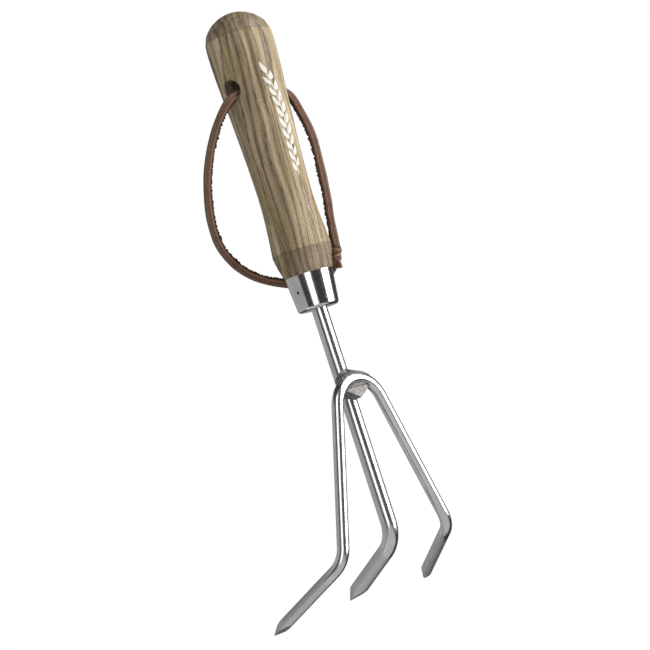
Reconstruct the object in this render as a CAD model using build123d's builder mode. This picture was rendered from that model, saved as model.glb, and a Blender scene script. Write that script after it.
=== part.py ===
from build123d import *
from math import cos, pi, radians, sin, tan
import os

# Three-tine hand rake. Millimetres and degrees.
# The origin is on the axis of the handle at its waist, where the hand closes round it.
# +Z runs up the handle to its butt, the tines hang down, and their hooks point along +Y.

# Handle, turned from one piece of ash. Heights are above (or below) the waist.
BUTT_TOP = 90.0
DOME_EDGE_Z, DOME_EDGE_R = 81.7, 15.3
DOME_RADIUS = 18.6
BEVEL_Z, BEVEL_R = 77.5, 16.8
BULGE_Z, BULGE_R = 72.0, 17.05
HOLE_BAND_Z, HOLE_BAND_R = 54.0, 16.35
STRAP_HOLE_Z, STRAP_HOLE_R = 50.7, 5.0
STRAP_HOLE_ROUNDING = 0.9
SHOULDER_Z, SHOULDER_R = 30.0, 14.8
WAIST_R = 13.4
FLARE_Z, FLARE_R = -33.5, 15.0
FLARE_ROUNDING = 0.5
CONE_MIDDLE_Z, CONE_MIDDLE_R = -39.5, 13.9

# Ferrule, a tapered steel cup that closes the lower end of the handle.
FERRULE_TOP_Z, FERRULE_TOP_R = -45.5, 12.15
FERRULE_END_Z, FERRULE_END_R = -63.5, 10.4
FERRULE_WALL = 1.2
FERRULE_ROUNDING = 1.8
PIN_Z, PIN_R = -53.7, 0.8
PIN_SUNK, PIN_DEPTH = 0.3, 6.0

# The rods and their welds lean a little towards -Y, about a line across the ferrule's floor.
# All their dimensions below are given before they lean.
ROD_LEAN = 1.7
LEAN_PIVOT_Z = -60.0

# Centre rod: tang, shank and centre tine in one length.
CENTRE_ROD_R = 4.0
TANG_TOP_Z = 0.0
TANG_CLEARANCE = 0.05
CENTRE_BEND_Z = -182.7
CENTRE_HOOK_ANGLE = 60.6
CENTRE_HOOK_LENGTH = 47.6
CENTRE_BEND_RADIUS = 16.0

# Outer rod: both outer tines and the arch between them.
OUTER_ROD_R = 3.0
ARCH_RADIUS = 17.0
LEGS_MEET = (0.0, -9.3, -66.0)
OUTER_BEND = (40.4, -1.7, -184.35)
OUTER_HOOK = (0.328, 0.825, -0.46)
OUTER_HOOK_LENGTH = 52.1
OUTER_BEND_RADIUS = 13.5

# Each tine ends in three flats ground by hand: two on its upper sides and one underneath.
# The angles are between each flat and the rod, for the upper flats and then the one underneath.
CENTRE_FLATS = (20.0, 16.4)
LEFT_FLATS = (17.0, 15.5)
RIGHT_FLATS = (16.0, 28.0)
POINT_BLUNTED = 0.5
GRIND_SIZE = 60.0

# Weld metal between the two rods.
WELD_FRONT_Y, WELD_BACK_Y = -6.0, 0.5
WELD_TOP_Z = -95.0
WELD_HALF_WIDTH = 9.5
WEB_FRONT_Y, WEB_BACK_Y = -5.5, -1.0
WEB_EDGE_Z, WEB_LOWEST_Z = -108.0, -110.5
WEB_HALF_WIDTH = 9.5

# Strap: a flat thong 4.6 mm wide and 2.7 mm thick, here a round tube of about the same section area.
STRAP_R = 2.0
STRAP_ROUTE = [
    (20.2, -4.3, -37.4),
    (20.0, -5.9, -24.0),
    (20.2, -8.5, -10.2),
    (21.1, -9.3, 6.0),
    (22.9, -8.7, 21.8),
    (23.3, -5.2, 35.3),
    (21.8, -1.6, 49.3),
    (0.5, -0.6, 48.9),
    (-20.0, -0.8, 49.2),
    (-24.6, 6.4, 38.1),
    (-28.7, 13.6, 24.5),
    (-31.6, 19.2, 9.3),
    (-31.6, 23.7, -7.0),
    (-28.6, 26.1, -21.4),
    (-20.4, 24.9, -33.7),
    (-9.4, 22.2, -42.3),
    (1.6, 17.9, -47.0),
    (10.8, 11.3, -50.8),
    (17.5, 3.2, -50.1),
    (20.0, -4.0, -41.2),
]
ROUTE_SHARE = 0.45
KNOT_LOBES = [(20.3, -4.4, -36.4), (19.6, -3.5, -41.2)]
KNOT_LOBE_R = 3.2
TAIL_END = (19.6, -4.0, -46.8)
TAIL_R = 1.3

os.makedirs("parts", exist_ok=True)
lean_axis = Axis((0, 0, LEAN_PIVOT_Z), (1, 0, 0))
lean_plane = Plane(origin=(0, 0, LEAN_PIVOT_Z), z_dir=(0, sin(radians(ROD_LEAN)), cos(radians(ROD_LEAN))))


def finish(part, label):
    part.label = label
    export_step(part, f"parts/{label}.step")


def cut_away(place, normal):
    """Take off everything beyond the plane at the place that faces along the normal."""
    with Locations(Plane(origin=place, z_dir=normal)):
        Box(GRIND_SIZE, GRIND_SIZE, GRIND_SIZE / 2,
            align=(Align.CENTER, Align.CENTER, Align.MIN), mode=Mode.SUBTRACT)


def ground_point(tip, hook, leg, flats):
    """Cut the three flats of a tine's point, inside the tine's own part block."""
    hook = Vector(*hook).normalized()
    across = Vector(*leg).cross(hook).normalized()
    upper = across.cross(hook)
    upper_angle, under_angle = (radians(angle) for angle in flats)
    for facing, angle in (
        (upper * 0.5 - across * cos(radians(30)), upper_angle),
        (upper * 0.5 + across * cos(radians(30)), upper_angle),
        (upper * -1, under_angle),
    ):
        cut_away(tip, facing * cos(angle) + hook * sin(angle))
    cut_away(tip - hook * POINT_BLUNTED, hook)


# ---- centre rod ----
hook_turn = radians(CENTRE_HOOK_ANGLE)
centre_hook = Vector(0, sin(hook_turn), -cos(hook_turn))
centre_bend = Vector(0, 0, CENTRE_BEND_Z)
centre_tip = centre_bend + centre_hook * CENTRE_HOOK_LENGTH
centre_beyond = centre_bend + centre_hook * (CENTRE_HOOK_LENGTH + CENTRE_ROD_R)

with BuildPart() as shank_centre_tine:
    with BuildLine() as centre_path:
        FilletPolyline((0, 0, TANG_TOP_Z), centre_bend, centre_beyond, radius=CENTRE_BEND_RADIUS)
    with BuildSketch(Plane(origin=(0, 0, TANG_TOP_Z), z_dir=(0, 0, -1))):
        Circle(CENTRE_ROD_R)
    sweep()
    chamfer(shank_centre_tine.edges().group_by(Axis.Z)[-1], 1.5)
    ground_point(centre_tip, centre_hook, (0, 0, -1), CENTRE_FLATS)
finish(shank_centre_tine.part.rotate(lean_axis, -ROD_LEAN), "shank_centre_tine")

# ---- outer rod ----
bend_right = Vector(*OUTER_BEND)
hook_right = Vector(*OUTER_HOOK).normalized()
leg_right = (bend_right - Vector(*LEGS_MEET)).normalized()


def mirrored(v):
    return Vector(-v.X, v.Y, v.Z)


def along_hook(length):
    return bend_right + hook_right * length


fork_route = [
    mirrored(along_hook(OUTER_HOOK_LENGTH + OUTER_ROD_R)),
    mirrored(bend_right),
    Vector(*LEGS_MEET),
    bend_right,
    along_hook(OUTER_HOOK_LENGTH + OUTER_ROD_R),
]

with BuildPart() as outer_tine_fork:
    with BuildLine() as fork_path:
        FilletPolyline(*fork_route, radius=[OUTER_BEND_RADIUS, ARCH_RADIUS, OUTER_BEND_RADIUS])
    with BuildSketch(Plane(origin=fork_path.line @ 0, z_dir=fork_path.line % 0)):
        Circle(OUTER_ROD_R)
    sweep()
    ground_point(along_hook(OUTER_HOOK_LENGTH), hook_right, leg_right, RIGHT_FLATS)
    ground_point(mirrored(along_hook(OUTER_HOOK_LENGTH)), mirrored(hook_right), mirrored(leg_right), LEFT_FLATS)
finish(outer_tine_fork.part.rotate(lean_axis, -ROD_LEAN), "outer_tine_fork")

# ---- weld metal ----
leg_half_angle = leg_right.get_angle(Vector(0, leg_right.Y, leg_right.Z))
arch_centre_z = LEGS_MEET[2] - ARCH_RADIUS / sin(radians(leg_half_angle))
arch_top_z = arch_centre_z + ARCH_RADIUS


def arch_z(x):
    return arch_centre_z + (ARCH_RADIUS**2 - x**2) ** 0.5


def arch_arc(half_width):
    ThreePointArc((-half_width, arch_z(half_width)), (0, arch_top_z), (half_width, arch_z(half_width)))


with BuildPart() as head_weld:
    with BuildSketch(Plane.XZ.offset(-WELD_BACK_Y)):
        with BuildLine():
            arch_arc(WELD_HALF_WIDTH)
            Polyline((-WELD_HALF_WIDTH, arch_z(WELD_HALF_WIDTH)), (-CENTRE_ROD_R, WELD_TOP_Z),
                     (CENTRE_ROD_R, WELD_TOP_Z), (WELD_HALF_WIDTH, arch_z(WELD_HALF_WIDTH)))
        make_face()
    extrude(amount=WELD_BACK_Y - WELD_FRONT_Y)
    add(shank_centre_tine.part, mode=Mode.SUBTRACT)
    add(outer_tine_fork.part, mode=Mode.SUBTRACT)
finish(head_weld.part.rotate(lean_axis, -ROD_LEAN), "head_weld")

with BuildPart() as arch_web:
    with BuildSketch(Plane.XZ.offset(-WEB_BACK_Y)):
        with BuildLine():
            arch_arc(WEB_HALF_WIDTH)
            Line((-WEB_HALF_WIDTH, arch_z(WEB_HALF_WIDTH)), (-WEB_HALF_WIDTH, WEB_EDGE_Z))
            ThreePointArc((-WEB_HALF_WIDTH, WEB_EDGE_Z), (0, WEB_LOWEST_Z), (WEB_HALF_WIDTH, WEB_EDGE_Z))
            Line((WEB_HALF_WIDTH, WEB_EDGE_Z), (WEB_HALF_WIDTH, arch_z(WEB_HALF_WIDTH)))
        make_face()
    extrude(amount=WEB_BACK_Y - WEB_FRONT_Y)
    add(shank_centre_tine.part, mode=Mode.SUBTRACT)
    add(outer_tine_fork.part, mode=Mode.SUBTRACT)
finish(arch_web.part.rotate(lean_axis, -ROD_LEAN), "arch_web")

# ---- ferrule pin ----
ferrule_taper = (FERRULE_TOP_R - FERRULE_END_R) / (FERRULE_TOP_Z - FERRULE_END_Z)
ferrule_r_at_pin = FERRULE_TOP_R - ferrule_taper * (FERRULE_TOP_Z - PIN_Z)
pin_plane = Plane(origin=(-ferrule_r_at_pin, 0, PIN_Z), z_dir=(1, 0, 0))

with BuildPart() as ferrule_pin:
    with BuildSketch(pin_plane.offset(PIN_SUNK)):
        Circle(PIN_R)
    extrude(amount=PIN_DEPTH)
    chamfer(ferrule_pin.edges().group_by(Axis.X)[-1], 0.5)
    fillet(ferrule_pin.edges().group_by(Axis.X)[0], 0.4)
finish(ferrule_pin.part, "ferrule_pin")


def pin_bore():
    """The round hole that the pin was driven through, from outside the ferrule to the pin's inner end."""
    with Locations(pin_plane.offset(-1)):
        Cylinder(PIN_R, 1 + PIN_SUNK + PIN_DEPTH, align=(Align.CENTER, Align.CENTER, Align.MIN), mode=Mode.SUBTRACT)


# ---- ferrule ----
cup_floor_z = FERRULE_END_Z + FERRULE_WALL

with BuildPart() as ferrule:
    with BuildSketch(Plane.XZ):
        with BuildLine():
            Polyline((0, FERRULE_TOP_Z), (FERRULE_TOP_R, FERRULE_TOP_Z), (FERRULE_END_R, FERRULE_END_Z),
                     (0, FERRULE_END_Z), close=True)
        make_face()
    revolve(axis=Axis.Z)
    fillet(ferrule.edges().group_by(Axis.Z)[0], FERRULE_ROUNDING)
    with BuildSketch(Plane.XZ):
        with BuildLine():
            Polyline((0, FERRULE_TOP_Z), (FERRULE_TOP_R - FERRULE_WALL, FERRULE_TOP_Z),
                     (FERRULE_END_R - FERRULE_WALL, cup_floor_z), (0, cup_floor_z), close=True)
        make_face()
    revolve(axis=Axis.Z, mode=Mode.SUBTRACT)
    with Locations(lean_plane.offset(FERRULE_END_Z - LEAN_PIVOT_Z)):
        Cylinder(CENTRE_ROD_R, 5 * FERRULE_WALL, mode=Mode.SUBTRACT)
    pin_bore()
finish(ferrule.part, "ferrule")

# ---- handle ----
with BuildPart() as handle:
    with BuildSketch(Plane.YZ):
        with BuildLine():
            dome = RadiusArc((0, BUTT_TOP), (DOME_EDGE_R, DOME_EDGE_Z), DOME_RADIUS)
            bevel = Line(dome @ 1, (BEVEL_R, BEVEL_Z))
            grip = Spline(bevel @ 1, (BULGE_R, BULGE_Z), (HOLE_BAND_R, HOLE_BAND_Z), (SHOULDER_R, SHOULDER_Z),
                          (WAIST_R, 0), (FLARE_R, FLARE_Z), tangents=[(0.12, -1), (0.09, -1)])
            cone = ThreePointArc(grip @ 1, (CONE_MIDDLE_R, CONE_MIDDLE_Z), (FERRULE_TOP_R, FERRULE_TOP_Z))
            Polyline(cone @ 1, (FERRULE_TOP_R - FERRULE_WALL, FERRULE_TOP_Z),
                     (FERRULE_END_R - FERRULE_WALL, cup_floor_z), (0, cup_floor_z), (0, BUTT_TOP))
        make_face()
    revolve(axis=Axis.Z)
    fillet(handle.edges().filter_by_position(Axis.Z, FLARE_Z - 0.5, FLARE_Z + 0.5), FLARE_ROUNDING)
    fillet(handle.edges().filter_by_position(Axis.Z, DOME_EDGE_Z - 0.5, DOME_EDGE_Z + 0.5), 0.8)
    with Locations(Location((0, 0, STRAP_HOLE_Z), (0, 90, 0))):
        Cylinder(STRAP_HOLE_R, 3 * BULGE_R, mode=Mode.SUBTRACT)
    mouth_band = handle.edges().filter_by(GeomType.BSPLINE).filter_by_position(
        Axis.Z, STRAP_HOLE_Z - 1.2 * STRAP_HOLE_R, STRAP_HOLE_Z + 1.2 * STRAP_HOLE_R)
    fillet(mouth_band, STRAP_HOLE_ROUNDING)
    with Locations(lean_plane):
        Cylinder(CENTRE_ROD_R + TANG_CLEARANCE, 2 * (TANG_TOP_Z - LEAN_PIVOT_Z) + 0.5, mode=Mode.SUBTRACT)
    pin_bore()
finish(handle.part, "handle")

# ---- strap ----
route = [Vector(*point) for point in STRAP_ROUTE]
radii = []
for before, here, after in zip(route, route[1:], route[2:]):
    turn = (here - before).get_angle(after - here)
    shorter = min((here - before).length, (after - here).length)
    radii.append(ROUTE_SHARE * shorter / tan(radians(turn / 2)))
print("strap radii, mm:", [round(r, 1) for r in radii])

with BuildPart() as strap_knot:
    with Locations(*KNOT_LOBES):
        Sphere(KNOT_LOBE_R)
    with BuildLine():
        Line(KNOT_LOBES[1], TAIL_END)
    with BuildSketch(Plane(origin=KNOT_LOBES[1], z_dir=Vector(*TAIL_END) - Vector(*KNOT_LOBES[1]))):
        Circle(TAIL_R)
    sweep()
finish(strap_knot.part, "strap_knot")

with BuildPart() as strap:
    with BuildLine() as strap_path:
        FilletPolyline(*route, radius=radii)
    with BuildSketch(Plane(origin=strap_path.line @ 0, z_dir=strap_path.line % 0)):
        Circle(STRAP_R)
    sweep()
    tube_volume = strap.part.volume
    add(strap_knot.part, mode=Mode.SUBTRACT)
finish(strap.part, "strap")

strap_length = sum(edge.length for edge in strap_path.edges())
print("strap length, mm:", round(strap_length, 1))
print("strap volume over section times length:", round(tube_volume / (pi * STRAP_R**2 * strap_length), 4))
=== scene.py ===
"""The looks of the three-tine hand rake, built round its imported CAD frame. +Z is up the handle.

Lengths are metres, but blocks marked mm hold bare millimetres, and a factor of MM makes metres of them.
"""
from math import cos, copysign, exp, pi, radians, sin

import bmesh
import bpy
import numpy as np
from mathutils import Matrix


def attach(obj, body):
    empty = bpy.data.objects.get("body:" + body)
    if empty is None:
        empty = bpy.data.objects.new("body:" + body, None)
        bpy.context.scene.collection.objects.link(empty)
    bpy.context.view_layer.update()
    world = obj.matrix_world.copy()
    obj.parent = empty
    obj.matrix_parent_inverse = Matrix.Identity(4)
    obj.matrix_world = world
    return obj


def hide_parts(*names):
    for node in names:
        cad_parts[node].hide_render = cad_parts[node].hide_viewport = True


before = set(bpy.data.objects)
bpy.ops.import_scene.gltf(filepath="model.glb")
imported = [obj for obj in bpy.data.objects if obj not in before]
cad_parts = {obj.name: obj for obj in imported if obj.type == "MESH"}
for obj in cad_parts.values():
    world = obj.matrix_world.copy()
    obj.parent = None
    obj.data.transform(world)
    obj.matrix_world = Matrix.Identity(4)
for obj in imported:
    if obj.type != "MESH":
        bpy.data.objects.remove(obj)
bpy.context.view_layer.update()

import openvdb
from mathutils import Matrix, Quaternion, Vector, noise
from mathutils.bvhtree import BVHTree

MM = 0.001

# ---- camera ----
CAMERA_AIM = Vector((-1.76, -2.23, -72.24)) * MM
CAMERA_DISTANCE = 983.6 * MM
CAMERA_AZIMUTH, CAMERA_ELEVATION, CAMERA_ROLL = -47.47, -3.15, 16.7
CAMERA_LENS = 110.8

# ---- strap: the route of its centreline, mm ----
# It is the CAD part's route with eight points moved by up to 2.6 mm: closer to the hole's lip, and drawn in a
# little at the knot and behind the ferrule.
STRAP_ROUTE = [
    (20.2, -4.3, -37.4),
    (20.0, -5.9, -24.0),
    (20.2, -8.5, -10.2),
    (21.1, -9.3, 6.0),
    (22.9, -8.7, 21.8),
    (23.3, -5.2, 35.3),
    (21.2, -2.2, 48.5),
    (0.5, -1.2, 48.5),
    (-18.4, -2.6, 48.2),
    (-24.2, 6.2, 38.1),
    (-28.7, 13.6, 24.5),
    (-31.6, 19.2, 9.3),
    (-31.6, 23.7, -7.0),
    (-28.6, 26.1, -21.4),
    (-20.4, 24.9, -33.7),
    (-9.4, 22.2, -41.5),
    (1.6, 17.9, -46.0),
    (10.8, 11.3, -50.8),
    (16.8, 4.0, -50.1),
    (19.4, -3.3, -41.2),
]
LOOP_CENTRE = Vector((-4, 8, 0)) * MM
STRAP_WIDTH, STRAP_THICKNESS = 4.3 * MM, 2.7 * MM
STRAP_STEPS = 36

# ---- knot: places in mm ----
KNOT_UPPER, KNOT_LOWER = Vector((19.8, -3.9, -37.1)), Vector((19.2, -3.1, -40.4))
KNOT_CORE = [(20.2, -4.4, -35.6), (20.0, -4.1, -38.9), (19.8, -3.6, -42.2)]
KNOT_TAIL = [(19.2, -3.2, -40.6), (19.2, -4.4, -43.2), (19.5, -3.8, -46.2)]
UPPER_TILT, LOWER_TILT = 0.18, -0.22
WRAP_RADIUS, WRAP_TURNS, WRAP_LIFT, WRAP_POINTS_PER_TURN = 1.75, 1.25, 1.2, 8
WRAP_WIDTH, WRAP_THICKNESS = 4.0 * MM, 2.2 * MM
CORE_WIDTH, CORE_THICKNESS = 3.6 * MM, 3.2 * MM
TAIL_WIDTH, TAIL_THICKNESS = 2.2 * MM, 1.6 * MM
KNOT_RAGGED = 0.7 * MM
KNOT_STEPS = 12

# ---- heights where the wood's surface changes, and its hole ----
DOME_EDGE, BEVEL, FLARE = 81.7 * MM, 77.5 * MM, -33.5 * MM
HOLE_HEIGHT, HOLE_RADIUS = 50.7 * MM, 5 * MM

# ---- rods: mm, in the upright frame that the CAD part draws them in before they lean ----
ROD_LEAN, LEAN_PIVOT = 1.7, Vector((0, 0, -60)) * MM
SHANK_RADIUS, FORK_RADIUS, ARCH_RADIUS = 4.0, 3.0, 17.0
LEGS_MEET = np.array((0.0, -9.3, -66.0))
LEG_BEND = np.array((40.4, -1.7, -184.35))


def direction(azimuth, elevation):
    """The unit vector from the rake towards a viewer or lamp at that azimuth and elevation, in degrees."""
    a, e = radians(azimuth), radians(elevation)
    return Vector((sin(a) * cos(e), -cos(a) * cos(e), sin(e)))


def link(obj):
    bpy.context.scene.collection.objects.link(obj)
    return obj


def make_camera():
    back = direction(CAMERA_AZIMUTH, CAMERA_ELEVATION)
    camera = link(bpy.data.objects.new("camera", bpy.data.cameras.new("camera")))
    camera.data.lens = CAMERA_LENS
    camera.location = CAMERA_AIM + back * CAMERA_DISTANCE
    camera.rotation_mode = "QUATERNION"
    roll = Quaternion((0, 0, 1), -radians(CAMERA_ROLL))
    camera.rotation_quaternion = (-back).to_track_quat("-Z", "Y") @ roll
    bpy.context.scene.camera = camera


# ---- mesh helpers ----
def mesh_object(name, verts, faces, material):
    mesh = bpy.data.meshes.new(name)
    mesh.from_pydata([tuple(v) for v in verts], [], faces)
    mesh.update()
    mesh.materials.append(material)
    mesh.polygons.foreach_set("use_smooth", [True] * len(mesh.polygons))
    return link(bpy.data.objects.new(name, mesh))


def spline_points(route, steps):
    """Points along the smooth NURBS line that has the route, in mm, as its control points."""
    curve = bpy.data.curves.new("route", "CURVE")
    curve.dimensions = "3D"
    curve.resolution_u = steps
    spline = curve.splines.new("NURBS")
    spline.points.add(len(route) - 1)
    for point, place in zip(spline.points, route):
        point.co = (*(c * MM for c in place), 1)
    spline.order_u = 3
    spline.use_endpoint_u = True
    holder = bpy.data.objects.new("route", curve)
    mesh = bpy.data.meshes.new_from_object(holder)
    points = [v.co.copy() for v in mesh.vertices]
    bpy.data.meshes.remove(mesh)
    bpy.data.objects.remove(holder)
    bpy.data.curves.remove(curve)
    return points


# ---- leather ----
SECTION_POINTS = 32
RIDGE_PLACE, RIDGE_WIDTH, RIDGE_HEIGHT = 0.62, 0.09, 0.22 * MM
FRAY_START, FRAY_REACH = 0.8, 0.95 * MM
SWELL, THINNING, GRAIN_HEIGHT = 0.1, 0.14, 0.09 * MM
CORNER_POWER = 0.75


def superellipse(angle):
    """A point on a rounded rectangle of half-width 1 and half-height 1."""
    c, s = cos(angle), sin(angle)
    return copysign(abs(c) ** CORNER_POWER, c), copysign(abs(s) ** CORNER_POWER, s)


def rough_edge(along, share, side):
    """How far the torn flesh side stands out: short soft nibs a millimetre or so apart."""
    if share < FRAY_START:
        return 0
    broad = noise.noise(Vector((along * 850, side * 1.7, 3.1)))
    fine = noise.noise(Vector((along * 2100, side * 3, 8)))
    nibs = broad + 0.5 * fine
    return (share - FRAY_START) / (1 - FRAY_START) * max(-0.35, nibs) * FRAY_REACH


def section_point(angle, along, width, thickness, ragged):
    """A point of the thong's section: its share across, and how far it stands inward and through."""
    a, t = superellipse(angle)
    share = 0.5 + 0.5 * a
    swell = 1 + SWELL * noise.noise(Vector((along * 90, 0, 0)))
    thin = 1 + THINNING * noise.noise(Vector((along * 120, 5, 0)))
    ridge = RIDGE_HEIGHT * exp(-(((share - RIDGE_PLACE) / RIDGE_WIDTH) ** 2))
    grain = GRAIN_HEIGHT * noise.noise(Vector((along * 500, share * 6, copysign(2, t))))
    torn = ragged * noise.noise(Vector((along * 1100, a * 2.5, t * 2.5)))
    reach = a * width / 2 * swell + rough_edge(along, share, t)
    rise = t * thickness / 2 * thin + copysign(ridge + grain + torn, t)
    return share, reach, rise


def tube_faces(rings, ring):
    """Quads between neighbouring rings of points, and a cap on each end."""
    faces = []
    for i in range(rings - 1):
        for j in range(ring):
            k = (j + 1) % ring
            faces.append((i * ring + j, i * ring + k, (i + 1) * ring + k, (i + 1) * ring + j))
    faces.append(tuple(reversed(range(ring))))
    faces.append(tuple(range((rings - 1) * ring, rings * ring)))
    return faces


def thong(name, points, material, facing, width, thickness, ragged=0.0):
    """A leather thong along the points. Its flesh side faces the way that facing(point) gives."""
    verts, shares = [], []
    along = 0
    for i, place in enumerate(points):
        ahead, behind = points[min(i + 1, len(points) - 1)], points[max(i - 1, 0)]
        tangent = (ahead - behind).normalized()
        inward = facing(place)
        inward = (inward - tangent * inward.dot(tangent)).normalized()
        through = tangent.cross(inward)
        along += (place - points[max(i - 1, 0)]).length
        for j in range(SECTION_POINTS):
            angle = 2 * pi * j / SECTION_POINTS
            share, reach, rise = section_point(angle, along, width, thickness, ragged)
            verts.append(place + inward * reach + through * rise)
            shares.append((share, along))
    obj = mesh_object(name, verts, tube_faces(len(points), SECTION_POINTS), material)
    layer = obj.data.uv_layers.new(name="across_and_along")
    for loop in obj.data.loops:
        share, distance = shares[loop.vertex_index]
        layer.data[loop.index].uv = (share, distance * 100)
    return obj


def towards_loop_centre(place):
    return LOOP_CENTRE - place


def always(way):
    """A facing that is the same at every place."""
    return lambda place: way


def wrap_route(centre, axis, radius, turns, lift):
    """Control points of a turn of thong round the knot's axis, in mm."""
    first = axis.orthogonal().normalized()
    second = axis.cross(first)
    count = int(WRAP_POINTS_PER_TURN * turns) + 1
    route = []
    for i in range(count):
        angle = 2 * pi * i / WRAP_POINTS_PER_TURN
        outward = first * cos(angle) + second * sin(angle)
        route.append(centre + outward * radius + axis * lift * (i / (count - 1) - 0.5))
    return route


def make_knot(material):
    axis = (KNOT_UPPER - KNOT_LOWER).normalized()
    pieces = []
    wraps = (("knot_upper_wrap", KNOT_UPPER, UPPER_TILT), ("knot_lower_wrap", KNOT_LOWER, LOWER_TILT))
    for name, centre, tilt in wraps:
        leaning = (axis + Vector((tilt, -tilt, 0))).normalized()
        points = spline_points(wrap_route(centre, leaning, WRAP_RADIUS, WRAP_TURNS, WRAP_LIFT), KNOT_STEPS)
        pieces.append(thong(name, points, material, always(leaning), WRAP_WIDTH, WRAP_THICKNESS, KNOT_RAGGED))
    core = spline_points(KNOT_CORE, KNOT_STEPS)
    pieces.append(thong("knot_core", core, material, towards_loop_centre, CORE_WIDTH, CORE_THICKNESS))
    tail = spline_points(KNOT_TAIL, KNOT_STEPS)
    facing = always(Vector((0, 1, 0.2)))
    pieces.append(thong("knot_tail", tail, material, facing, TAIL_WIDTH, TAIL_THICKNESS, KNOT_RAGGED))
    for piece in pieces:
        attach(piece, "strap_loop")
        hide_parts("strap_knot")
    return pieces


def make_strap(material):
    points = spline_points(STRAP_ROUTE, STRAP_STEPS)
    strap = thong("strap_thong", points, material, towards_loop_centre, STRAP_WIDTH, STRAP_THICKNESS)
    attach(strap, "strap_loop")
    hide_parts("strap")
    knot = make_knot(material)


# ---- a plain leaf sprig printed on the handle ----
PRINT_LIFT, PRINT_DEPTH = 0.07 * MM, 0.1 * MM
# Its own sizes are in mm, across and up the handle's surface.
PRINT_RADIUS, RAY_START = 15.5, 50 * MM
STEM_HEIGHTS, STEM_WIDTH, STEM_STEPS = (2.0, 54.0), 0.55, 60
STEM_AZIMUTH, STEM_BEND, BEND_START, BEND_LENGTH = -2, 15, 28, 26
LEAF_HEIGHTS = [5.0 + 5.5 * k for k in range(9)]
LEAF_OUT, LEAF_STAGGER, LEAF_SHRINK = 0.5, 1.2, 0.05
LEAF_LENGTH, LEAF_WIDTH, LEAF_TURN = 6.6, 2.5, radians(38)


def handle_tree():
    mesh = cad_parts["handle"].data
    return BVHTree.FromPolygons([v.co for v in mesh.vertices], [list(f.vertices) for f in mesh.polygons])


def stem_azimuth(height):
    """Degrees round the handle that the stem runs at, bending away towards its top."""
    return STEM_AZIMUTH - STEM_BEND * max(0, (height - BEND_START) / BEND_LENGTH) ** 2


def on_handle(tree, across, height, lift):
    """The place on the turned surface that is across mm to the right of the stem at that height in mm."""
    outward = direction(stem_azimuth(height) + across / PRINT_RADIUS * 180 / pi, 0)
    origin = outward * RAY_START + Vector((0, 0, height * MM))
    hit = tree.ray_cast(origin, -outward)[0]
    return hit + outward * lift


def leaf_grid(base, turn, length, width, rows=12, columns=4):
    """Rows of (across, height) points over one pointed leaf that starts at the base and leans by the turn."""
    grid = []
    for i in range(rows + 1):
        t = i / rows
        half = width / 2 * (sin(pi * t ** 0.8) + 0.04)
        curl = turn * (1 - 0.35 * t)
        x, z = base[0] + sin(curl) * length * t, base[1] + cos(curl) * length * t
        sides = [(j / columns * 2 - 1) * half for j in range(columns + 1)]
        grid.append([(x + side * cos(curl), z - side * sin(curl)) for side in sides])
    return grid


def stem_grid():
    low, high = STEM_HEIGHTS
    heights = [low + (high - low) * i / STEM_STEPS for i in range(STEM_STEPS + 1)]
    return [[(side * STEM_WIDTH / 2, height) for side in (-1, 1)] for height in heights]


def add_print(tree, grid, verts, faces):
    """A thin raised patch over the grid, closed underneath the wood's surface."""
    rows, columns = len(grid), len(grid[0])
    start = len(verts)
    for lift in (PRINT_LIFT, -PRINT_DEPTH):
        for row in grid:
            verts.extend(on_handle(tree, across, height, lift) for across, height in row)
    under = rows * columns

    def at(i, j, below=0):
        return start + i * columns + j + below * under

    for i in range(rows - 1):
        for j in range(columns - 1):
            faces.append((at(i, j), at(i, j + 1), at(i + 1, j + 1), at(i + 1, j)))
            faces.append((at(i, j, 1), at(i + 1, j, 1), at(i + 1, j + 1, 1), at(i, j + 1, 1)))
        for j, flip in ((0, False), (columns - 1, True)):
            side = (at(i, j), at(i + 1, j), at(i + 1, j, 1), at(i, j, 1))
            faces.append(tuple(reversed(side)) if flip else side)
    for j in range(columns - 1):
        for i, flip in ((0, True), (rows - 1, False)):
            side = (at(i, j), at(i, j + 1), at(i, j + 1, 1), at(i, j, 1))
            faces.append(tuple(reversed(side)) if flip else side)


def make_sprig(material):
    tree = handle_tree()
    verts, faces = [], []
    add_print(tree, stem_grid(), verts, faces)
    for k, height in enumerate(LEAF_HEIGHTS):
        size = 1 - LEAF_SHRINK * abs(k - len(LEAF_HEIGHTS) // 2)
        for way in (1, -1):
            base = (way * LEAF_OUT, height + way * LEAF_STAGGER)
            grid = leaf_grid(base, way * LEAF_TURN, LEAF_LENGTH * size, LEAF_WIDTH * size)
            add_print(tree, grid, verts, faces)
    tip = leaf_grid((0, STEM_HEIGHTS[1] - LEAF_OUT), 0, LEAF_LENGTH, LEAF_WIDTH)
    add_print(tree, tip, verts, faces)
    sprig = mesh_object("leaf_sprig", verts, faces, material)
    sprig.data.polygons.foreach_set("use_smooth", [False] * len(sprig.data.polygons))
    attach(sprig, "rake")


# ---- weld metal, mm: one rounded body that grows out of both rods ----
VOXEL = 0.25
WELD_LOW, WELD_HIGH = np.array((-14.5, -10.5, -116.0)), np.array((14.5, 5.0, -92.0))
WELD_REACH, WELD_TOP, WELD_BOTTOM = 13.4, -93.4, -114.4
# The gusset is a plate outside the arch. Its front slopes forwards below its top, and its middle is lowered.
GUSSET_TOP, GUSSET_LOWERED, GUSSET_LOWERED_REACH = -95.5, 0.9, 10
GUSSET_START, GUSSET_DEPTH, GUSSET_FRONT_SHARE = 4.2, 4.3, 0.75
GUSSET_BACK, GUSSET_OVERLAP = -0.4, 4
GUSSET_SLOPE_LEFT, GUSSET_SLOPE_RIGHT = radians(18), radians(31)
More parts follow.
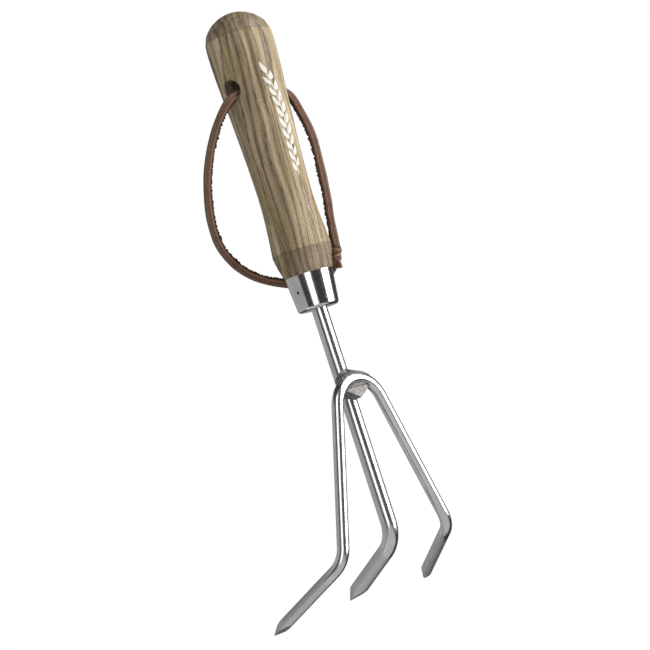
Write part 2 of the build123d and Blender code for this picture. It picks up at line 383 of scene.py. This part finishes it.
# The web fills the inside of the arch down to an edge that rises to both sides.
WEB_Y, WEB_HALF = -5.1, 3.25
WEB_LOW, WEB_RISE = -111.8, 0.55
# Away from the weld's heart the metal sinks under the rods' surfaces, so that it shows only at the weld.
WELD_HEART = np.array((0.0, -4.5, -101.5))
SUNK, SUNK_GROWTH, HEART_RADIUS = 0.14, 0.05, 7
BETWEEN_RODS, BETWEEN_PLATES, PLATES_TO_RODS = 5.5, 0.8, 1.4
FILLET_BELOW_WEB, RIPPLE_HEIGHT = 0.5, 0.066


def smooth_min(a, b, blend):
    h = np.clip(0.5 + 0.5 * (b - a) / blend, 0, 1)
    return b * (1 - h) + a * h - blend * h * (1 - h)


def arch_distance(x, y, z):
    """Distances from the arch rod's surface and, in its plane, from its centre, and where that centre is."""
    down = (LEG_BEND - LEGS_MEET) * (0, 1, 1)
    down /= np.linalg.norm(down)
    half_angle = np.arctan2(LEG_BEND[0], (LEG_BEND - LEGS_MEET) @ down)
    centre = LEGS_MEET + down * ARCH_RADIUS / np.sin(half_angle)
    v = (y - centre[1]) * down[1] + (z - centre[2]) * down[2]
    off_plane = (y - centre[1]) * down[2] - (z - centre[2]) * down[1]
    in_plane = np.hypot(x, v)
    return np.hypot(in_plane - ARCH_RADIUS, off_plane) - FORK_RADIUS, in_plane, centre


def gusset_distance(x, y, z, centre):
    across = np.abs(x)
    slope = np.where(x > 0, GUSSET_SLOPE_RIGHT, GUSSET_SLOPE_LEFT)
    shoulder = across * np.sin(slope) + (z - centre[2]) * np.cos(slope) - ARCH_RADIUS - FORK_RADIUS
    shoulder += GUSSET_LOWERED * np.clip(1 - across / GUSSET_LOWERED_REACH, 0, 1)
    end = across - (ARCH_RADIUS + FORK_RADIUS) * np.sin(slope)
    front = GUSSET_FRONT_SHARE * (-y - GUSSET_START - np.clip(GUSSET_TOP - z, 0, GUSSET_DEPTH))
    bottom = centre[2] + ARCH_RADIUS - GUSSET_OVERLAP - z
    return np.maximum.reduce((shoulder, end, front, y - GUSSET_BACK, bottom))


def ripple(x, y, z):
    coarse = np.sin(2.1 * x + 1.3 * z) * np.sin(1.7 * z - 0.9 * y)
    return RIPPLE_HEIGHT * (coarse + np.sin(3.7 * x - 2.2 * y + 0.7 * z))


def sunk_depth(x, y, z):
    hx, hy, hz = WELD_HEART
    away = np.sqrt((x - hx) ** 2 + (y - hy) ** 2 + (z - hz) ** 2)
    return SUNK + SUNK_GROWTH * np.clip(away - HEART_RADIUS, 0, None)


def weld_field():
    """Signed distance to the weld's surface, near enough, on the voxels between its low and high corners."""
    axes = [np.arange(low, high, VOXEL) for low, high in zip(WELD_LOW, WELD_HIGH)]
    x, y, z = np.meshgrid(*axes, indexing="ij")
    arch, from_centre, centre = arch_distance(x, y, z)
    edge = WEB_LOW + WEB_RISE * np.abs(x) - z
    web = np.maximum.reduce((from_centre - ARCH_RADIUS, np.abs(y - WEB_Y) - WEB_HALF, edge))
    plates = smooth_min(gusset_distance(x, y, z, centre), web, BETWEEN_PLATES) + ripple(x, y, z)
    sunk = sunk_depth(x, y, z)
    rods = smooth_min(np.hypot(x, y) - SHANK_RADIUS + sunk, arch + sunk, BETWEEN_RODS)
    body = smooth_min(np.maximum(rods, edge - FILLET_BELOW_WEB), plates, PLATES_TO_RODS)
    return np.maximum.reduce((body, np.abs(x) - WELD_REACH, z - WELD_TOP, WELD_BOTTOM - z))


def make_weld(material):
    grid = openvdb.FloatGrid(5 * VOXEL)
    field = np.clip(weld_field(), -4 * VOXEL, 4 * VOXEL).astype(np.float32)
    grid.copyFromArray(field)
    points, quads = grid.convertToQuads(0)
    points = (points * VOXEL + WELD_LOW) * MM
    outward = quads[:, ::-1]
    weld = mesh_object("weld_fillets", points.tolist(), outward.tolist(), material)
    lean = Matrix.Rotation(-radians(ROD_LEAN), 4, "X")
    weld.data.transform(Matrix.Translation(LEAN_PIVOT) @ lean @ Matrix.Translation(-LEAN_PIVOT))
    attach(weld, "rake")
    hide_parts("head_weld", "arch_web")


# ---- shader helpers ----
class Paint:
    """A node material under construction. An input given as a socket is linked, any other value is set."""

    def __init__(self, name):
        self.material = bpy.data.materials.new(name)
        self.material.use_nodes = True
        self.tree = self.material.node_tree
        self.shader = self.tree.nodes["Principled BSDF"]
        self.place = self.node("TexCoord").outputs["Object"]

    def node(self, kind, inputs=None, **settings):
        made = self.tree.nodes.new("ShaderNode" + kind)
        for name, value in settings.items():
            setattr(made, name, value)
        for name, value in (inputs or {}).items():
            self.put(made, name, value)
        return made

    def put(self, node, name, value):
        if isinstance(value, bpy.types.NodeSocket):
            self.tree.links.new(value, node.inputs[name])
        else:
            node.inputs[name].default_value = value

    def math(self, operation, a, b=0.0):
        return self.node("Math", {0: a, 1: b}, operation=operation).outputs[0]

    def axes(self):
        return self.node("SeparateXYZ", {0: self.place}).outputs

    def length(self, a, b):
        """The length of the flat vector with those two parts."""
        squares = self.math("ADD", self.math("MULTIPLY", a, a), self.math("MULTIPLY", b, b))
        return self.math("SQRT", squares)

    def stretch(self, place, scale):
        return self.node("VectorMath", {0: place, 1: scale}, operation="MULTIPLY").outputs[0]

    def noise(self, place, scale, detail=3.0, roughness=0.5):
        settings = {"Vector": place, "Scale": scale, "Detail": detail, "Roughness": roughness}
        return self.node("TexNoise", settings).outputs["Fac"]

    def ramp(self, value, low, high):
        """0 below low, 1 above high, smooth between."""
        settings = {"Value": value, "From Min": low, "From Max": high}
        return self.node("MapRange", settings, interpolation_type="SMOOTHSTEP").outputs["Result"]

    def mix(self, factor, a, b, blend="MIX"):
        made = self.node("Mix", data_type="RGBA", blend_type=blend)
        self.put(made, 0, factor)
        self.put(made, 6, a if isinstance(a, bpy.types.NodeSocket) else (*a, 1))
        self.put(made, 7, b if isinstance(b, bpy.types.NodeSocket) else (*b, 1))
        return made.outputs[2]

    def blend(self, factor, a, b):
        made = self.node("Mix", data_type="FLOAT")
        self.put(made, 0, factor)
        self.put(made, 2, a)
        self.put(made, 3, b)
        return made.outputs[0]

    def tone(self, amount, share, base, colour):
        """Lay the colour over the base, by up to that share where the amount is 1."""
        return self.mix(self.math("MULTIPLY", amount, share), base, colour)

    def bump(self, height, distance, strength=1.0):
        return self.node("Bump", {"Height": height, "Distance": distance, "Strength": strength}).outputs[0]

    def finish(self, **sockets):
        for name, value in sockets.items():
            self.put(self.shader, name.replace("_", " "), value)
        return self.material


# ---- ash: the log's pith in x and y, and its growth rings ----
RING_CENTRE = (0.047, -0.052)
RING_SPACING, RING_WAVE, RING_CLIMB = 3.6 * MM, 11 * MM, 0.03
DARK_PORE, EARLY_WOOD = (0.026, 0.017, 0.009), (0.088, 0.063, 0.036)
WOOD_LIGHT, WOOD_DARK = (0.27, 0.2, 0.115), (0.225, 0.172, 0.083)
BAND_LIGHT, BAND_DARK = (0.42, 0.335, 0.225), (0.092, 0.064, 0.033)
STREAK_LIGHT, STREAK_DARK = (0.43, 0.35, 0.24), (0.10, 0.074, 0.042)
# The end-grain tone also serves as painted shade on the cone.
END_GRAIN_AND_CONE_SHADE, SEAM, HOLE_SHADE = (0.075, 0.055, 0.034), (0.045, 0.032, 0.02), (0.06, 0.043, 0.027)


def ring_count(p, x, y, z):
    """How many growth rings out from the pith a place is, with slow waves along the log."""
    slow = p.noise(p.stretch(p.place, (1, 1, 0.22)), 55, 2)
    wave = p.math("MULTIPLY", p.math("SUBTRACT", slow, 0.5), RING_WAVE)
    far = p.length(p.math("SUBTRACT", x, RING_CENTRE[0]), p.math("SUBTRACT", y, RING_CENTRE[1]))
    outward = p.math("ADD", p.math("ADD", far, wave), p.math("MULTIPLY", z, RING_CLIMB))
    return p.math("DIVIDE", outward, RING_SPACING)


def wood_tones(p, rings, early, z):
    """The wood's colour before its pores: patches, growth bands, streaks and the darker early wood."""
    patch = p.noise(p.stretch(p.place, (1, 1, 0.35)), 60, 3)
    streak = p.noise(p.stretch(p.place, (1, 1, 0.045)), 420, 3, 0.6)
    band_place = p.node("CombineXYZ", {0: rings, 1: p.math("MULTIPLY", z, 6.0)}).outputs[0]
    band = p.noise(band_place, 1.15, 3, 0.65)
    base = p.mix(p.ramp(patch, 0.38, 0.62), WOOD_LIGHT, WOOD_DARK)
    base = p.tone(p.ramp(band, 0.47, 0.36), 0.9, base, BAND_DARK)
    base = p.tone(p.ramp(band, 0.53, 0.66), 0.8, base, BAND_LIGHT)
    base = p.tone(p.ramp(streak, 0.5, 0.72), 0.75, base, STREAK_LIGHT)
    base = p.tone(p.ramp(streak, 0.5, 0.26), 0.7, base, STREAK_DARK)
    return p.tone(early, 0.62, base, EARLY_WOOD)


def cut_edges(p, colour, y, z):
    """Darker end grain on the dome, painted shade on the downward-facing cone, a seam at each turned edge,
    and painted shade round the strap's hole.
    """
    dome = p.ramp(z, BEVEL - 0.1 * MM, BEVEL + 0.1 * MM)
    cone = p.ramp(z, FLARE + 0.1 * MM, FLARE - 0.1 * MM)
    # One tone: real end grain on the dome, and painted shade on the cone, which faces down.
    colour = p.tone(p.math("ADD", dome, cone), 0.4, colour, END_GRAIN_AND_CONE_SHADE)
    for height in (DOME_EDGE, BEVEL, FLARE):
        seam = p.ramp(p.math("ABSOLUTE", p.math("SUBTRACT", z, height)), 0.35 * MM, 0.1 * MM)
        colour = p.tone(seam, 0.35, colour, SEAM)
    from_hole = p.length(p.math("SUBTRACT", z, HOLE_HEIGHT), y)
    near_hole = p.ramp(from_hole, HOLE_RADIUS + 1.3 * MM, HOLE_RADIUS + 0.2 * MM)
    return p.tone(near_hole, 0.3, colour, HOLE_SHADE)


def ash_wood():
    """Flat-sawn ash: wavy rings whose open pores run up the handle as dark dashes."""
    p = Paint("ash_wood")
    x, y, z = p.axes()
    rings = ring_count(p, x, y, z)
    early = p.math("SUBTRACT", 1.0, p.ramp(p.math("FRACT", rings), 0.0, 0.42))
    pore_noise = p.noise(p.stretch(p.place, (1, 1, 0.055)), 2300, 2, 0.6)
    pore_share = p.math("ADD", p.math("MULTIPLY", early, 0.85), 0.1)
    pores = p.math("MULTIPLY", p.ramp(pore_noise, 0.5, 0.62), pore_share)
    colour = p.mix(pores, wood_tones(p, rings, early, z), DARK_PORE)
    fine = p.noise(p.place, 1700, 3, 0.75)
    grain = p.blend(fine, 0.3, 2.35)
    colour = p.mix(1.0, colour, p.node("CombineXYZ", {0: grain, 1: grain, 2: grain}).outputs[0], "MULTIPLY")
    colour = cut_edges(p, colour, y, z)
    relief = p.math("SUBTRACT", p.math("MULTIPLY", fine, 0.4), pores)
    return p.finish(Base_Color=colour, Roughness=p.blend(pores, p.blend(fine, 0.42, 0.6), 0.8),
                    Specular_IOR_Level=0.4, Normal=p.bump(relief, 0.12 * MM, 0.8))


def rod_steel():
    """Round bar: polished along its straights, ground to a satin with marks across it on the hooks."""
    p = Paint("rod_steel")
    _, y, z = p.axes()
    hook = p.math("MULTIPLY", p.ramp(y, 0.5 * MM, 5 * MM), p.ramp(z, -150 * MM, -160 * MM))
    smudge = p.noise(p.place, 90, 4, 0.6)
    marks = p.noise(p.stretch(p.place, (0.12, 1, 0.5)), 1300, 3, 0.6)
    lines = p.noise(p.stretch(p.place, (1, 1, 0.06)), 700, 2, 0.5)
    tint = p.mix(p.ramp(smudge, 0.35, 0.7), (0.63, 0.62, 0.605), (0.54, 0.53, 0.52))
    colour = p.mix(hook, tint, p.mix(marks, (0.44, 0.43, 0.42), (0.62, 0.605, 0.59)))
    shine = p.blend(smudge, 0.15, 0.3)
    satin = p.blend(marks, 0.4, 0.54)
    fine = p.blend(hook, p.math("MULTIPLY", lines, 0.25), marks)
    return p.finish(Base_Color=colour, Metallic=1.0, Roughness=p.blend(hook, shine, satin),
                    Normal=p.bump(fine, 0.03 * MM, 0.22))


def ferrule_steel():
    """Polished cup: near mirror, with a slight mottle and faint turning lines round it."""
    p = Paint("ferrule_steel")
    z = p.axes()[2]
    mottle = p.noise(p.place, 700, 4, 0.65)
    smudge = p.noise(p.place, 120, 3)
    turning = p.noise(p.node("CombineXYZ", {2: z}).outputs[0], 3500, 2)
    colour = p.mix(p.ramp(smudge, 0.35, 0.65), (0.66, 0.65, 0.635), (0.56, 0.55, 0.535))
    height = p.math("ADD", mottle, p.math("MULTIPLY", turning, 0.25))
    return p.finish(Base_Color=colour, Metallic=1.0, Roughness=p.blend(mottle, 0.11, 0.2),
                    Normal=p.bump(height, 0.02 * MM, 0.25))


def pin_steel():
    """Dull speckled end of the driven pin."""
    p = Paint("pin_steel")
    speck = p.noise(p.place, 3000, 3, 0.7)
    colour = p.mix(speck, (0.05, 0.047, 0.043), (0.2, 0.19, 0.18))
    return p.finish(Base_Color=colour, Metallic=1.0, Roughness=p.blend(speck, 0.4, 0.65),
                    Normal=p.bump(speck, 0.05 * MM))


def weld_steel():
    """Blasted weld metal: matt, pitted, with darker heat stain in its hollows."""
    p = Paint("weld_steel")
    coarse = p.noise(p.place, 450, 4, 0.65)
    fine = p.noise(p.place, 2800, 3, 0.7)
    colour = p.mix(p.ramp(coarse, 0.36, 0.64), (0.14, 0.135, 0.13), (0.25, 0.242, 0.232))
    colour = p.tone(p.ramp(fine, 0.55, 0.75), 0.3, colour, (0.42, 0.41, 0.395))
    height = p.math("ADD", coarse, p.math("MULTIPLY", fine, 0.35))
    return p.finish(Base_Color=colour, Metallic=0.75, Roughness=p.blend(fine, 0.5, 0.66),
                    Normal=p.bump(height, 0.25 * MM, 0.6))


def leather():
    """Red-brown thong: smooth grain side, a painted highlight along its ridge, and a dark fibrous flesh edge.
    """
    p = Paint("leather_thong")
    uv = p.node("TexCoord").outputs["UV"]
    share = p.node("SeparateXYZ", {0: uv}).outputs[0]
    pores = p.noise(p.place, 1500, 3, 0.6)
    blotch = p.noise(p.place, 230, 3)
    fibre = p.noise(p.place, 4200, 2, 0.7)
    share = p.math("ADD", share, p.math("MULTIPLY", p.math("SUBTRACT", blotch, 0.5), 0.12))
    colour = p.mix(p.ramp(share, 0.14, 0.3), (0.15, 0.105, 0.07), (0.13, 0.062, 0.037))
    # The pale tone along the ridge is a painted highlight.
    ridge = p.math("MULTIPLY", p.ramp(share, 0.5, 0.58), p.ramp(share, 0.74, 0.66))
    colour = p.tone(ridge, 0.6, colour, (0.29, 0.185, 0.125))
    colour = p.mix(p.ramp(share, 0.78, 0.88), colour, (0.034, 0.019, 0.013))
    colour = p.tone(p.ramp(blotch, 0.5, 0.75), 0.5, colour, (0.075, 0.036, 0.026))
    colour = p.tone(p.ramp(fibre, 0.6, 0.75), 0.35, colour, (0.30, 0.20, 0.145))
    height = p.math("ADD", pores, p.math("MULTIPLY", fibre, 0.6))
    return p.finish(Base_Color=colour, Roughness=p.blend(pores, 0.55, 0.85), Specular_IOR_Level=0.3,
                    Normal=p.bump(height, 0.16 * MM, 0.8))


def sprig_ink():
    """Off-white ink, worn thin in streaks along the grain."""
    p = Paint("sprig_ink")
    wornness = p.noise(p.stretch(p.place, (1, 1, 0.15)), 1900, 3, 0.65)
    colour = p.mix(p.ramp(wornness, 0.52, 0.68), (0.66, 0.63, 0.57), (0.33, 0.27, 0.19))
    return p.finish(Base_Color=colour, Roughness=p.blend(wornness, 0.5, 0.75),
                    Normal=p.bump(wornness, 0.05 * MM, 0.5))


def wear(node, material):
    """Give a CAD node that stays its material."""
    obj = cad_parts[node]
    obj.data.materials.clear()
    obj.data.materials.append(material)


# ---- stage: metres ----
FLOOR_HEIGHT, FLOOR_REACH, BACKDROP_RADIUS = -0.62, 1.8, 4.0
WORLD_GREY = (0.055, 0.054, 0.053, 1)
# Each lamp's name, degrees round from the camera, elevation, distance, width, height and strength.
LAMPS = [
    ("front_box", -6, 21, 1.7, 0.9, 2.3, 2.3),
    ("right_box", 85, 20, 1.3, 1.0, 2.1, 6.0),
    ("left_wall", -102, 0, 1.5, 3.4, 2.4, 0.47),
    ("low_box", -10, -62, 0.56, 1.3, 1.0, 0.64),
    ("back_fill", 180, 10, 2.2, 2.0, 2.0, 0.3),
]


def card(name, round_from_camera, elevation, distance, width, height, strength):
    """A soft box: a rectangular area lamp that faces the rake."""
    lamp = bpy.data.lights.new(name, "AREA")
    lamp.shape = "RECTANGLE"
    lamp.size, lamp.size_y = width, height
    lamp.energy = strength * width * height * pi
    obj = link(bpy.data.objects.new(name, lamp))
    back = direction(CAMERA_AZIMUTH + round_from_camera, elevation)
    obj.location = CAMERA_AIM + back * distance
    obj.rotation_mode = "QUATERNION"
    obj.rotation_quaternion = back.to_track_quat("Z", "Y")
    obj.visible_camera = False


def make_floor():
    """A pale disc for the camera alone, because its reflection speckles polished steel."""
    paper = Paint("pale_floor")
    speck = paper.noise(paper.place, 40, 4)
    paper.finish(Base_Color=paper.mix(speck, (0.78, 0.78, 0.77), (0.84, 0.84, 0.83)), Roughness=0.8,
                 Emission_Color=(0.9, 0.9, 0.89, 1), Emission_Strength=0.62)
    mesh = bpy.data.meshes.new("floor")
    disc = bmesh.new()
    bmesh.ops.create_circle(disc, cap_ends=True, segments=96, radius=FLOOR_REACH)
    disc.to_mesh(mesh)
    disc.free()
    floor = link(bpy.data.objects.new("floor", mesh))
    floor.location.z = FLOOR_HEIGHT
    mesh.materials.append(paper.material)
    floor.visible_glossy = False
    floor.visible_diffuse = False


def make_backdrop():
    """A white shell that only the camera sees."""
    mesh = bpy.data.meshes.new("backdrop")
    shell = bmesh.new()
    bmesh.ops.create_uvsphere(shell, u_segments=48, v_segments=24, radius=BACKDROP_RADIUS)
    shell.to_mesh(mesh)
    shell.free()
    backdrop = link(bpy.data.objects.new("backdrop", mesh))
    paper = Paint("white_paper")
    paper.finish(Base_Color=(0, 0, 0, 1), Emission_Color=(1, 1, 1, 1), Emission_Strength=1.0)
    mesh.materials.append(paper.material)
    for kind in ("diffuse", "glossy", "transmission", "volume_scatter", "shadow"):
        setattr(backdrop, "visible_" + kind, False)


def make_stage():
    scene = bpy.context.scene
    scene.view_settings.view_transform = "Standard"
    world = bpy.data.worlds.new("studio")
    scene.world = world
    world.use_nodes = True
    world.node_tree.nodes["Background"].inputs["Color"].default_value = WORLD_GREY
    for lamp in LAMPS:
        card(*lamp)
    make_floor()
    make_backdrop()


make_camera()
make_strap(leather())
make_weld(weld_steel())
make_sprig(sprig_ink())
wear("handle", ash_wood())
wear("ferrule", ferrule_steel())
wear("ferrule_pin", pin_steel())
rod = rod_steel()
wear("shank_centre_tine", rod)
wear("outer_tine_fork", rod)
make_stage()
